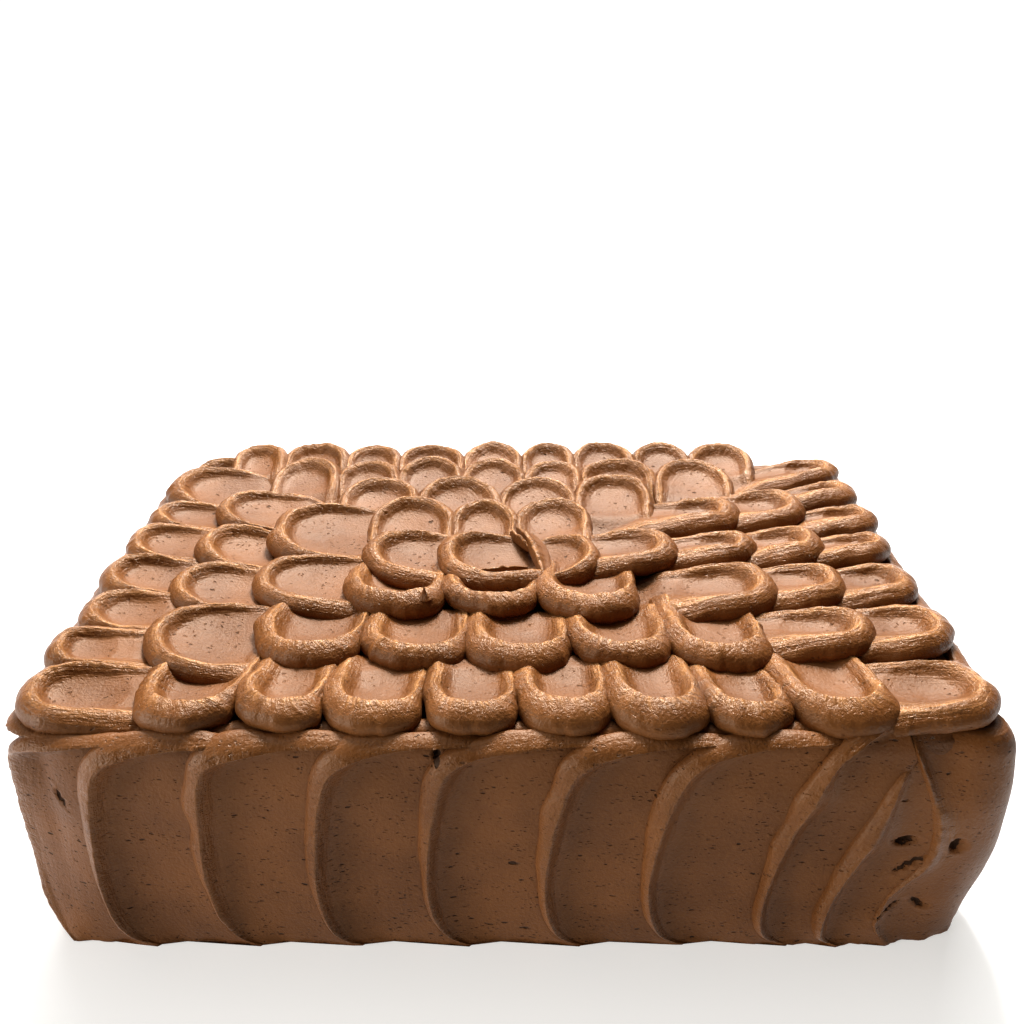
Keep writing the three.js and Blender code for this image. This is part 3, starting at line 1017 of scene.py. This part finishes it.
def side_stroke(start, hook, end, next_hook, proud, rng):
    """One stroke of the wall, its ridge at `start` and the next ridge at `end` round the cake.

    The panel reaches a little under the next ridge, whose own hook gives its edge. `proud`
    scales how far the ridge stands out. Along the hook the ridge grows out of its `foot`, gets
    `broad` on the way up, flattens into the `lip` and sinks at its end; `share` is the part
    of the hook's length that lies behind."""
    pitch = end - start
    crest, along = smooth_curve(hook, HOOK_ROWS)
    share = along / along[-1]
    right = pitch + 3 + np.minimum(hook_side(next_hook, crest[:, 1]), 30)
    spread = 0.5 if hook[-1, 0] > 40 else 0.96
    middle_up = np.where(crest[:, 1] > WAIST, WAIST + (crest[:, 1] - WAIST) * spread,
                         crest[:, 1] - 0.8 * (1 - crest[:, 1] / WAIST))
    middle = np.column_stack([right, middle_up])
    outward = plan_normals(crest)
    seed = rng.integers(200)
    wave = smooth_noise(along / 11.0, 0, seed)
    jag = smooth_noise(along / 2.6, 0, seed + 1)
    fat = rng.uniform(0.9, 1.1)

    foot = smooth_step(share, 0.0, 0.16)
    broad = smooth_step(crest[:, 1], 18, 85)
    shoulder = np.exp(-((share - 0.64) / 0.09) ** 2)
    lip = smooth_step(share, 0.62, 0.82)
    tail = 1 - smooth_step(share, 0.80, 1.0)
    sink = smooth_step(share, 0.90, 1.0)
    stand = proud * foot * tail
    bulge = (0.6 + (1.9 + 3.2 * broad) * (1 - 0.45 * lip) * stand - 0.5 * sink) * fat * (1 + 0.25 * wave)
    uneven = (0.4 * wave + 0.2 * jag) * foot * tail
    crest_h = (1.3 + 3.7 * stand) * (1 - 0.3 * lip) * fat + uneven - 3.0 * sink
    flank = (1.7 + 0.9 * foot * (1 - 0.8 * lip) + 1.6 * broad * (1 - lip) + 1.6 * shoulder) * fat
    bottom_h = np.full(len(crest), WALL_BOTTOM)
    floor_h = wall_floor(pitch, hook, next_hook)
    points, push, near = stroke_section(crest, middle, outward, bulge, crest_h, bottom_h, floor_h, flank, 1.7)
    s, t = grid_arcs(points, along)
    wrinkle = 0.6 * smooth_noise(s / 1.6, t / 7.0, seed + 2) + smooth_noise(s / 9.0, t / 1.6, seed + 3)
    points = points + push * (0.22 * wrinkle * near)[..., None]
    u = start + points[..., 0]
    up = np.maximum(points[..., 1], 0.0)
    out = points[..., 2] + 0.5 * smooth_noise(u / 16.0, up / 22.0, 7)
    out = out + 0.18 * smooth_noise(u / 5.0, up / 12.0, 9)
    out = out + 0.9 * smooth_noise(u / 3.3, 0 * up, 21) * np.exp(-up / 2.0)
    out[:, :FLOOR_STEPS] -= torn_bubbles(u[:, :FLOOR_STEPS], up[:, :FLOOR_STEPS])
    world = on_wall(u, up, out)
    # 0.8 * near keeps the wall's ridges mostly out of the painted crest highlight.
    return finish_stroke(world, s, t, 0.8 * near, 0.4, 1.0, False, rng)


print("a side stroke has", HOOK_ROWS * ACROSS, "points")

# %% Ridges round the cake
# Front ridges: place round the cake and slant. Last ones: place, hook and how far they stand out.
FRONT_RIDGES = [(-149.0, 0.5), (-109.0, 0.15), (-70.0, 0.65), (-29.0, 0.6), (13.2, 0.9), (52.5, 0.9)]
LAST_RIDGES = [(93.0, HOOK_LAST, 1.0), (117.0, HOOK_STRAIGHT, 0.85), (139.0, HOOK_SEAM, 0.35)]
USUAL_PITCH = 42
REST_FIRST = 187.0
REST_LAST = GIRTH - 181.0
BACK_LIP = 0.80
BACK_FROM, BACK_TO = 385.0, 750.0
CORNER_PROUD = 0.7
CORNER_FROM = GIRTH - 240.0
ridge_rng = np.random.default_rng(5)
rest_count = round((REST_LAST - REST_FIRST) / USUAL_PITCH)
rest = np.linspace(REST_FIRST, REST_LAST, rest_count + 1)
rest[1:-1] += ridge_rng.uniform(-2.5, 2.5, rest_count - 1)
ridges = [(start, regular_hook(slant, ridge_rng), 1.0) for start, slant in FRONT_RIDGES]
ridges += LAST_RIDGES
for start in rest:
    lip_scale = BACK_LIP if BACK_FROM < start < BACK_TO else 1.0
    hook = regular_hook(ridge_rng.uniform(0.1, 1.0), ridge_rng, lip_scale)
    ridges.append((start, hook, CORNER_PROUD if start > CORNER_FROM else 1.0))
print("ridges round the cake:", len(ridges))
wall = []
for i, (start, hook, proud) in enumerate(ridges):
    next_start, next_hook, _ = ridges[(i + 1) % len(ridges)]
    end = next_start + (GIRTH if i + 1 == len(ridges) else 0)
    wall.append(side_stroke(start, hook, end, next_hook, proud, np.random.default_rng([9, i])))
for first in range(0, len(wall), STROKES_PER_PIECE):
    name = f"side_strokes_{first // STROKES_PER_PIECE + 1}"
    make_piece(name, wall[first:first + STROKES_PER_PIECE], CREAM)

# %% [markdown]
# ## The coat underneath
#
# Between the rims one glimpses the first, plain coat. It is a closed block a little inside the
# strokes, flat where the cake rests. Its top, under the scallops, is flat inside a low brim.

# %% The under coat
CORE_INSET = 4.2
CORE_LEVELS = np.array([0.0, 0.6, 20, 50, 80, 89, 93, 96.5, 97.6, 97.0, 92.6, 92.6])
CORE_OUT = np.array([-5.0, *[-CORE_INSET] * 7, -7.0, -10.0, -16.0, -22.0])
CORE_SIDES = 480
UNEVEN_FROM = 90


def under_coat():
    """A lofted block: the outline at each level, closed by a fan at the top and at the base."""
    u = np.linspace(0, GIRTH, CORE_SIDES, endpoint=False)
    rows = [on_wall(u[None], np.full((1, CORE_SIDES), up), np.full((1, CORE_SIDES), out))[0]
            for up, out in zip(CORE_LEVELS, CORE_OUT)]
    points = np.array(rows)
    uneven = 0.4 * smooth_noise(points[..., 0] / 9, points[..., 1] / 9, 13)
    points[..., 2] += uneven * (points[..., 2] > UNEVEN_FROM)
    vertices = np.concatenate([points.reshape(-1, 3), [[0, 0, 0], [0, 0, CORE_LEVELS[-1]]]])
    faces = loft_faces(*points.shape[:2])
    cream = np.tile([0.3, 0.5, 0.6], (len(vertices), 1))
    return vertices, faces, vertices[:, :2] * MM, cream


make_piece("under_coat", [under_coat()], CREAM)

# %% [markdown]
# ## Floor, light and camera
#
# A pale sweep of floor, and light mostly from above and behind: a window, a broad panel under
# it that draws the long highlights on the rims, and a faint overcast sun. A dimmer window low
# on the left rakes the front, so each ridge there has a light side and a dark one. The floor
# glows softly round the cake and fully behind it, like the backlit sweep of a light tent, and
# the surround is bright only near the horizon.

# %% Floor
FLOOR_HALF = 60.0
FLOOR_GREY = (0.50, 0.495, 0.485, 1.0)
GLOW_NONE = (0.02, 0.02, 0.02, 1.0)
GLOW_NEAR = (0.58, 0.566, 0.542, 1.0)
GLOW_BEHIND = (0.92, 0.92, 0.92, 1.0)


def floor_material():
    """Pale and matt. Its glow fades 24 to 60 cm from the middle of the cake and in front of it."""
    material = bpy.data.materials.new("pale_floor")
    material.use_nodes = True
    tree = material.node_tree
    shader = tree.nodes["Principled BSDF"]
    shader.inputs["Base Color"].default_value = FLOOR_GREY
    shader.inputs["Roughness"].default_value = 0.7
    shader.inputs["Emission Strength"].default_value = 1.0
    place = add_node(tree, "ShaderNodeTexCoord", output="Object")
    radius = add_node(tree, "ShaderNodeVectorMath", {"operation": "LENGTH"}, {0: place}, "Value")
    forward = add_node(tree, "ShaderNodeSeparateXYZ", None, {0: place}, "Y")
    near = (1.0 - band(tree, radius, 0.24, 0.60)) * band(tree, forward, -0.32, -0.16)
    glow = blend_colour(tree, near, GLOW_NONE, GLOW_NEAR)
    glow = blend_colour(tree, band(tree, forward, 0.15, 1.5), glow, GLOW_BEHIND)
    plug(tree, shader.inputs["Emission Color"], glow)
    return material


floor_corners = [(-1, -1), (1, -1), (1, 1), (-1, 1)]
floor_mesh = bpy.data.meshes.new("floor")
floor_mesh.from_pydata([(FLOOR_HALF * x, FLOOR_HALF * y, 0) for x, y in floor_corners], [], [(0, 1, 2, 3)])
floor_mesh.materials.append(floor_material())
floor = bpy.data.objects.new("floor", floor_mesh)
bpy.context.collection.objects.link(floor)
print("the floor reaches", FLOOR_HALF, "m each way")

# %% Surround
SURROUND_WHITE = (1.0, 0.995, 0.985, 1.0)
surround = bpy.data.worlds.new("surround")
surround.use_nodes = True
sky = surround.node_tree
toward = add_node(sky, "ShaderNodeTexCoord", output="Generated")
height = add_node(sky, "ShaderNodeSeparateXYZ", None, {0: toward}, "Z")
strength = 0.04 + 1.06 * (1.0 - band(sky, height, 0.02, 0.06))
background = sky.nodes["Background"]
background.inputs["Color"].default_value = SURROUND_WHITE
plug(sky, background.inputs["Strength"], strength)
bpy.context.scene.world = surround
print("the surround uses", len(sky.nodes), "nodes")


# %% Lights
def soft_light(name, place, aim, width, depth, power):
    """A rectangular area light at place, facing aim."""
    data = bpy.data.lights.new(name, "AREA")
    data.shape = "RECTANGLE"
    data.size = width
    data.size_y = depth
    data.energy = power
    light = bpy.data.objects.new(name, data)
    bpy.context.collection.objects.link(light)
    light.location = place
    light.rotation_euler = (Vector(aim) - Vector(place)).to_track_quat("-Z", "Y").to_euler()


soft_light("window", (0.12, 0.82, 1.32), (0, 0, 0.05), 0.42, 0.38, 57.0)
soft_light("back_panel", (0.0, 0.74, 0.80), (0, 0, 0.1), 1.6, 0.5, 23.0)
soft_light("side_window", (-1.26, -0.54, 0.36), (0, 0, 0.05), 0.8, 0.8, 19.0)

SUN_TOWARD = Vector((-0.2, 0.25, 1.0))
sun_data = bpy.data.lights.new("overcast", "SUN")
sun_data.energy = 1.0
sun_data.angle = math.radians(30)
sun = bpy.data.objects.new("overcast", sun_data)
bpy.context.collection.objects.link(sun)
sun.rotation_euler = SUN_TOWARD.to_track_quat("Z", "Y").to_euler()
print("lights:", [light.name for light in bpy.data.lights])

# %% Camera
PITCH = 26.52
EYE = (2.0 * MM, -391.05 * MM, (CREST_Z + 212.5) * MM)
SENSOR = 36.0
LENS = 35.16
camera_data = bpy.data.cameras.new("camera")
camera_data.sensor_width = SENSOR
camera_data.lens = LENS
camera = bpy.data.objects.new("camera", camera_data)
bpy.context.collection.objects.link(camera)
camera.location = EYE
camera.rotation_euler = (math.radians(90 - PITCH), 0, 0)
bpy.context.scene.camera = camera
bpy.context.scene.view_settings.view_transform = "Standard"
print("camera stands", round(EYE[2], 3), "m up and looks", PITCH, "degrees down")
